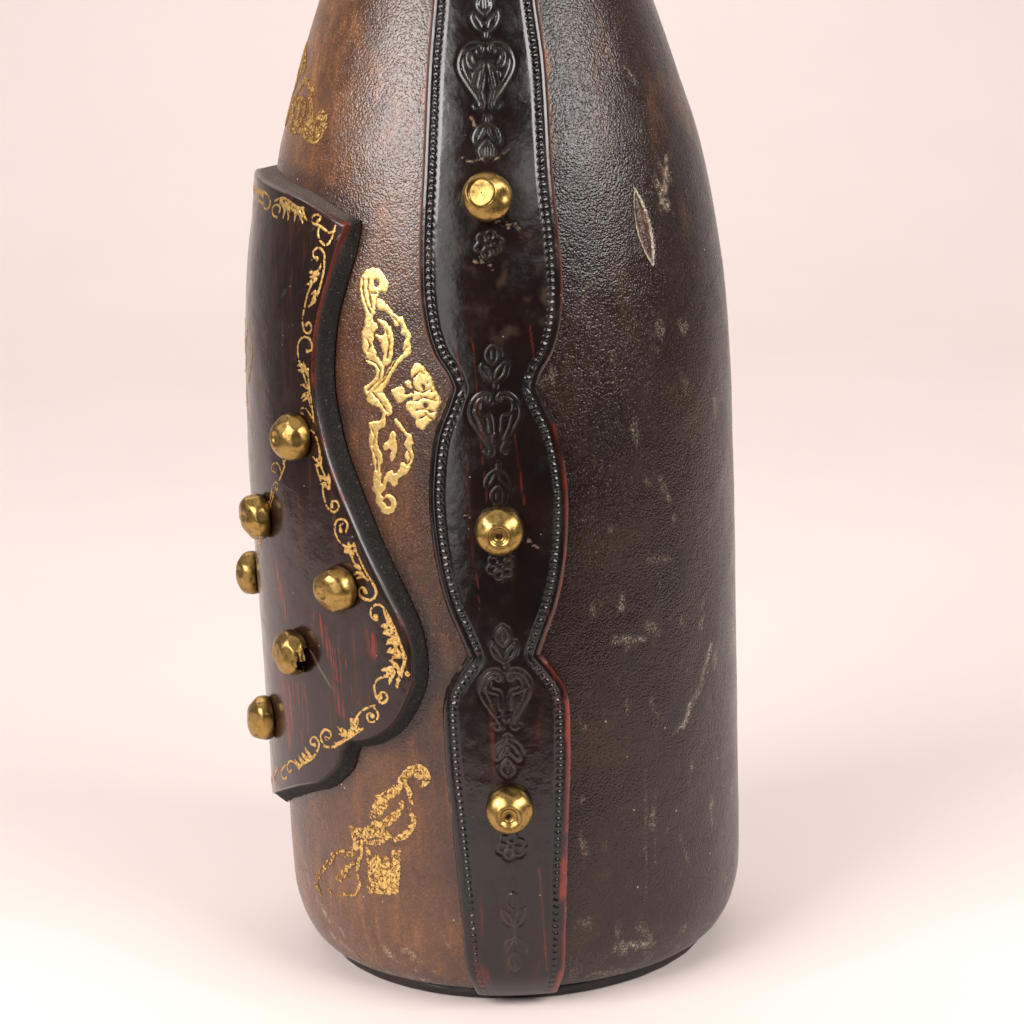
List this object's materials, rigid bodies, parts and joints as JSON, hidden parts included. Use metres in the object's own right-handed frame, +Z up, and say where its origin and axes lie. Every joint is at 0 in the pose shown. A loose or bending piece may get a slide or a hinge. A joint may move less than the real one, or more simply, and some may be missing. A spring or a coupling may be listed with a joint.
{
  "type": "leather-covered carafe",
  "caption": "Bottle-shaped glass carafe in a leather cover with scalloped tooled side straps, a brass-studded front shield, a neck collar and a lift-out leather-capped cork stopper.",
  "frame": {"origin": "centre of the sole's underside, where the carafe stands", "axes": "+Z up along the bottle's axis, -Y out of the front with the shield, +X towards the strap on the right side"},
  "size_m": [0.1076, 0.1015, 0.3294],
  "materials": {
    "glass": "dark olive bottle glass, smooth",
    "leather_brown": "worn brown pebbled leather, gilt stamped",
    "leather_dark": "worn near-black pebbled leather",
    "leather_black": "glossy black-brown tooled leather with red-brown worn edges",
    "leather_sole": "matt dark sole leather",
    "brass": "hammered, patinated",
    "cork": "natural cork",
    "wood": "turned, oiled"
  },
  "bodies": {
    "bottle": {"glass_bottle": "glass", "front_cover": "leather_brown", "back_cover": "leather_dark", "base_sole": "leather_sole", "right_strap": "leather_black", "left_strap": "leather_black", "front_shield": "leather_black", "neck_collar": "leather_black", "right_strap_stud_upper": "brass", "right_strap_stud_middle": "brass", "right_strap_stud_lower": "brass", "left_strap_stud_upper": "brass", "left_strap_stud_middle": "brass", "left_strap_stud_lower": "brass", "shield_stud_01": "brass", "shield_stud_02": "brass", "shield_stud_03": "brass", "shield_stud_04": "brass", "shield_stud_05": "brass", "shield_stud_06": "brass", "shield_stud_07": "brass", "shield_stud_08": "brass", "shield_stud_09": "brass", "shield_stud_10": "brass", "shield_stud_11": "brass"},
    "stopper": {"stopper_cork": "cork", "stopper_dowel": "wood", "stopper_knob": "wood", "stopper_cap": "leather_black", "stopper_stud": "brass"}
  },
  "joints": [
    {"name": "stopper_lift", "type": "slide", "parent": "bottle", "child": "stopper", "axis": [0, 0, 1], "range_m": [0, 0.06]}
  ]
}
